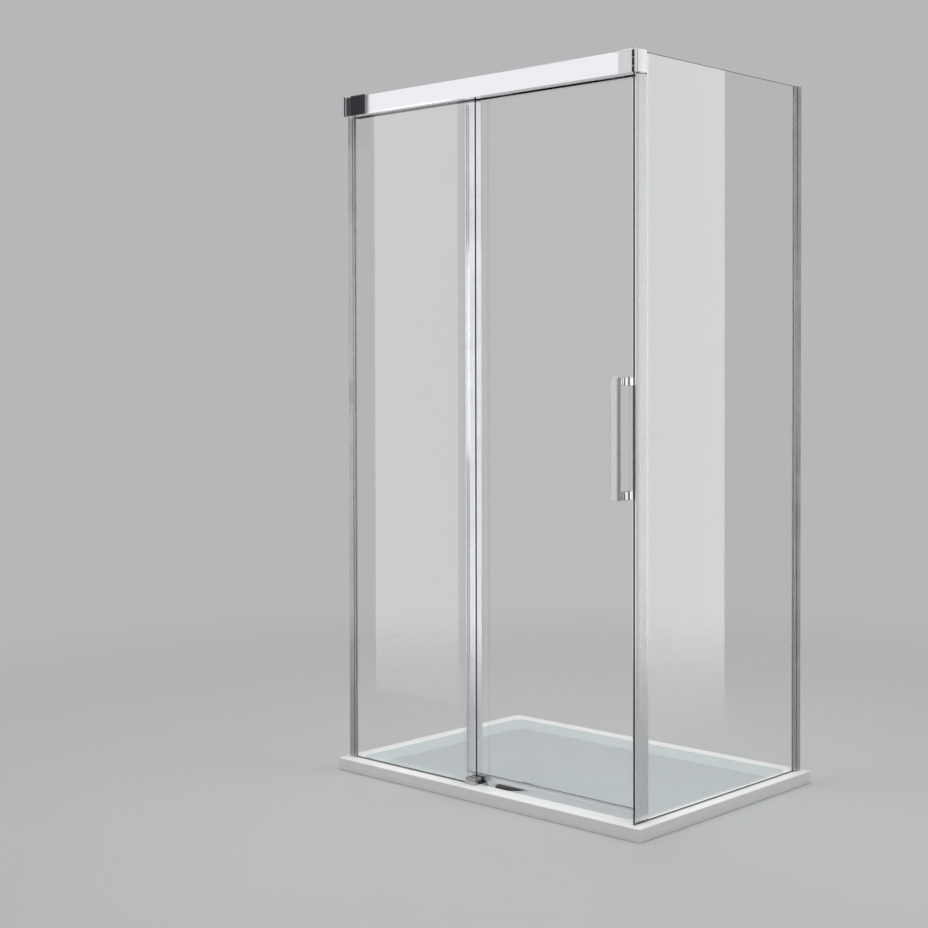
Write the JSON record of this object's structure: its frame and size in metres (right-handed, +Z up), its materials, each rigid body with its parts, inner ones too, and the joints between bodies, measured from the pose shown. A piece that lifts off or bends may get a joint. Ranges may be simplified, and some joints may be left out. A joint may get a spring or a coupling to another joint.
{
  "type": "shower enclosure",
  "caption": "Corner shower enclosure: low white tray, clear glass side and fixed panels, and a sliding glass door hung on rollers inside a bright top rail, with bar handles.",
  "frame": {"origin": "middle of the tray's underside, on the floor", "axes": "+X along the front from the wall end to the open corner, +Y from the front to the back wall, +Z up"},
  "size_m": [1.1, 0.8, 1.9675],
  "materials": {
    "tray_white": "glossy",
    "waste_black": "glossy",
    "chrome": "polished",
    "satin_metal": "satin",
    "silver_aluminium": "bright anodised",
    "clear_glass": "polished",
    "clear_seal": "translucent",
    "grey_seal": "matte",
    "magnet_strip": "matte",
    "zinc_steel": "satin",
    "white_nylon": "matte",
    "black_nylon": "matte"
  },
  "bodies": {
    "enclosure": {"shower_tray": "tray_white", "waste_flange": "chrome", "top_rail": "chrome", "rail_wall_bracket": "chrome", "rail_end_sleeve": "chrome", "corner_sleeve": "chrome", "corner_clamp_cap": "chrome", "bottom_guide": "chrome", "corner_clamp_studs": "chrome", "front_wall_channel": "silver_aluminium", "front_glazing_channel": "silver_aluminium", "side_wall_channel": "silver_aluminium", "side_glazing_channel": "silver_aluminium", "side_channel_cap": "silver_aluminium", "strike_profile": "silver_aluminium", "rail_infill_strip": "silver_aluminium", "fixed_panel_glass": "clear_glass", "side_panel_glass": "clear_glass", "front_channel_gaskets": "grey_seal", "side_channel_gaskets": "grey_seal", "fixed_panel_sill_seal": "grey_seal", "side_panel_sill_seal": "grey_seal", "fixed_panel_top_gasket": "grey_seal", "corner_clamp_gaskets": "grey_seal", "stop_buffers": "grey_seal", "strike_magnet": "magnet_strip", "front_channel_screws": "zinc_steel", "side_channel_screws": "zinc_steel", "corner_plug": "zinc_steel", "rail_set_screws": "zinc_steel", "stop_screws": "zinc_steel", "guide_screws": "zinc_steel", "stop_blocks": "white_nylon", "guide_pads": "black_nylon"},
    "door": {"door_glass": "clear_glass", "hanger_left": "zinc_steel", "hanger_right": "zinc_steel", "hanger_clamps": "zinc_steel", "hanger_pads": "grey_seal", "hanger_bolts": "zinc_steel", "roller_axles": "zinc_steel", "door_bottom_profile": "silver_aluminium", "door_wiper_seal": "clear_seal", "door_leading_profile": "silver_aluminium", "door_magnet": "magnet_strip", "door_trailing_profile": "silver_aluminium", "door_overlap_seal": "clear_seal", "handle_outer_bar": "satin_metal", "handle_inner_bar": "satin_metal", "handle_outer_posts": "chrome", "handle_inner_posts": "chrome", "handle_washers": "grey_seal", "handle_studs": "zinc_steel"},
    "roller_1": {"roller_1": "white_nylon"},
    "roller_2": {"roller_2": "white_nylon"},
    "roller_3": {"roller_3": "white_nylon"},
    "roller_4": {"roller_4": "white_nylon"},
    "waste_cover": {"waste_cover": "waste_black"}
  },
  "joints": [
    {"name": "door_slide", "type": "slide", "parent": "enclosure", "child": "door", "axis": [-1, 0, 0], "range_m": [0, 0.42]},
    {"name": "roller_1_spin", "type": "hinge", "parent": "door", "child": "roller_1", "pos_m": [-0.0205, -0.345, 1.9468], "axis": [0, 1, 0], "range_deg": [-2420, 10]},
    {"name": "roller_2_spin", "type": "hinge", "parent": "door", "child": "roller_2", "pos_m": [0.0355, -0.345, 1.9468], "axis": [0, 1, 0], "range_deg": [-2420, 10]},
    {"name": "roller_3_spin", "type": "hinge", "parent": "door", "child": "roller_3", "pos_m": [0.363, -0.345, 1.9468], "axis": [0, 1, 0], "range_deg": [-2420, 10]},
    {"name": "roller_4_spin", "type": "hinge", "parent": "door", "child": "roller_4", "pos_m": [0.419, -0.345, 1.9468], "axis": [0, 1, 0], "range_deg": [-2420, 10]},
    {"name": "waste_cover_lift", "type": "slide", "parent": "enclosure", "child": "waste_cover", "axis": [0, 0, 1], "range_m": [0, 0.08]}
  ],
  "couplings": [
    {"joint": "roller_1_spin", "follows": "door_slide", "rad_per_m": -100},
    {"joint": "roller_2_spin", "follows": "door_slide", "rad_per_m": -100},
    {"joint": "roller_3_spin", "follows": "door_slide", "rad_per_m": -100},
    {"joint": "roller_4_spin", "follows": "door_slide", "rad_per_m": -100}
  ]
}
